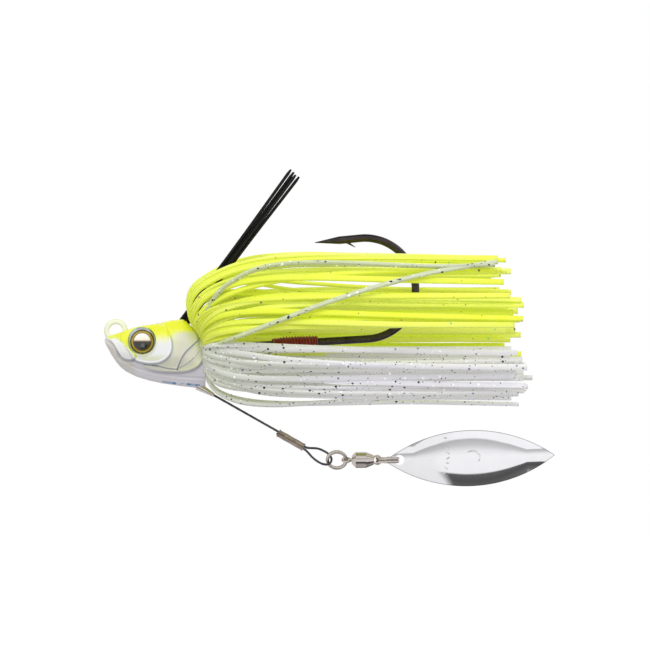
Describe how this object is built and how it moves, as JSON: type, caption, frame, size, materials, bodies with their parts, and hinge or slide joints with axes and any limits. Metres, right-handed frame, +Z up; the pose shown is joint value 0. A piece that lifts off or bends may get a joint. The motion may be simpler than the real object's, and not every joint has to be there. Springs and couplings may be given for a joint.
{
  "type": "underspin swim jig",
  "caption": "Fish-head fishing jig with a hook, fibre weed guard, silicone strand skirt and a willow leaf blade on a swivel and cable arm.",
  "frame": {"origin": "centre of the line tie, the eye at the front of the hook", "axes": "+X from nose to tail, +Z up, the fish's left side faces -Y"},
  "size_m": [0.0856, 0.0298, 0.0603],
  "materials": {
    "lead_paint": "gloss pearl paint, yellow on the back",
    "black_nickel": "polished black nickel",
    "eye_foil": "gold foil with a black pupil",
    "eye_dome": "clear epoxy",
    "guard_nylon": "satin",
    "skirt_yellow": "translucent silicone",
    "skirt_pearl": "translucent silicone with flake",
    "collar_rubber": "satin",
    "thread": "varnished thread",
    "keeper_steel": "satin",
    "cable_coat": "nylon coated strands",
    "nickel": "bright nickel",
    "dark_nickel": "dull nickel",
    "blade_nickel": "mirror nickel",
    "bearing_steel": "polished"
  },
  "bodies": {
    "head": {"head_casting": "lead_paint", "hook": "black_nickel", "left_eye_foil": "eye_foil", "right_eye_foil": "eye_foil", "left_eye_lens": "eye_dome", "right_eye_lens": "eye_dome", "guard_root": "guard_nylon", "skirt_collar": "collar_rubber", "thread_wrap": "thread", "trailer_keeper": "keeper_steel", "arm_ferrule": "nickel", "cable_root": "cable_coat"},
    "guard": {"weed_guard_fibre_1": "guard_nylon", "weed_guard_fibre_2": "guard_nylon", "weed_guard_fibre_3": "guard_nylon", "weed_guard_fibre_4": "guard_nylon"},
    "arm": {"arm_cable": "cable_coat", "crimp_sleeve": "dark_nickel"},
    "front_ring": {"swivel_front_ring": "nickel"},
    "stud": {"swivel_stud": "nickel"},
    "barrel": {"swivel_barrel": "nickel", "swivel_plug": "nickel", "bearing_balls": "bearing_steel"},
    "split_ring": {"split_ring": "nickel"},
    "blade": {"blade": "blade_nickel"},
    "skirt_left": {"skirt_left_top": "skirt_yellow", "skirt_left_shoulder": "skirt_yellow", "skirt_left_side": "skirt_pearl", "skirt_left_flank": "skirt_pearl", "skirt_left_belly": "skirt_pearl"},
    "skirt_right": {"skirt_right_top": "skirt_yellow", "skirt_right_shoulder": "skirt_yellow", "skirt_right_side": "skirt_pearl", "skirt_right_flank": "skirt_pearl", "skirt_right_belly": "skirt_pearl"}
  },
  "joints": [
    {"name": "guard_flex", "type": "hinge", "parent": "head", "child": "guard", "pos_m": [0.01326, 0, 0.00212], "axis": [0, 1, 0], "range_deg": [0, 18], "stiffness_Nm_per_rad": 0.005},
    {"name": "arm_flex", "type": "hinge", "parent": "head", "child": "arm", "pos_m": [0.0186, 0, -0.0122], "axis": [0, 1, 0], "range_deg": [-1, 15], "stiffness_Nm_per_rad": 0.02, "springref_deg": -1.15},
    {"name": "ring_swing", "type": "hinge", "parent": "arm", "child": "front_ring", "pos_m": [0.0404, 0, -0.0245], "axis": [0, 1, 0], "range_deg": [-2, 30]},
    {"name": "stud_yaw", "type": "hinge", "parent": "front_ring", "child": "stud", "pos_m": [0.04373, 0, -0.0245], "axis": [0, -0.4848, 0.8746], "range_deg": [-15, 15]},
    {"name": "swivel_spin", "type": "hinge", "parent": "stud", "child": "barrel", "pos_m": [0.046, 0, -0.0245], "axis": [1, 0, 0], "continuous": true},
    {"name": "split_ring_pitch", "type": "hinge", "parent": "barrel", "child": "split_ring", "pos_m": [0.0496, 0, -0.0245], "axis": [0, 1, 0], "range_deg": [-3, 35]},
    {"name": "blade_pitch", "type": "hinge", "parent": "split_ring", "child": "blade", "pos_m": [0.0536, 0, -0.0245], "axis": [0, 1, 0], "range_deg": [-3, 35]},
    {"name": "skirt_left_flare", "type": "hinge", "parent": "head", "child": "skirt_left", "pos_m": [0.0194, -0.0032, 0], "axis": [0, 0, -1], "range_deg": [0, 20], "stiffness_Nm_per_rad": 0.0005},
    {"name": "skirt_right_flare", "type": "hinge", "parent": "head", "child": "skirt_right", "pos_m": [0.0194, 0.0032, 0], "axis": [0, 0, 1], "range_deg": [0, 20], "stiffness_Nm_per_rad": 0.0005}
  ],
  "couplings": [
    {"joint": "skirt_right_flare", "follows": "skirt_left_flare", "ratio": 1}
  ]
}
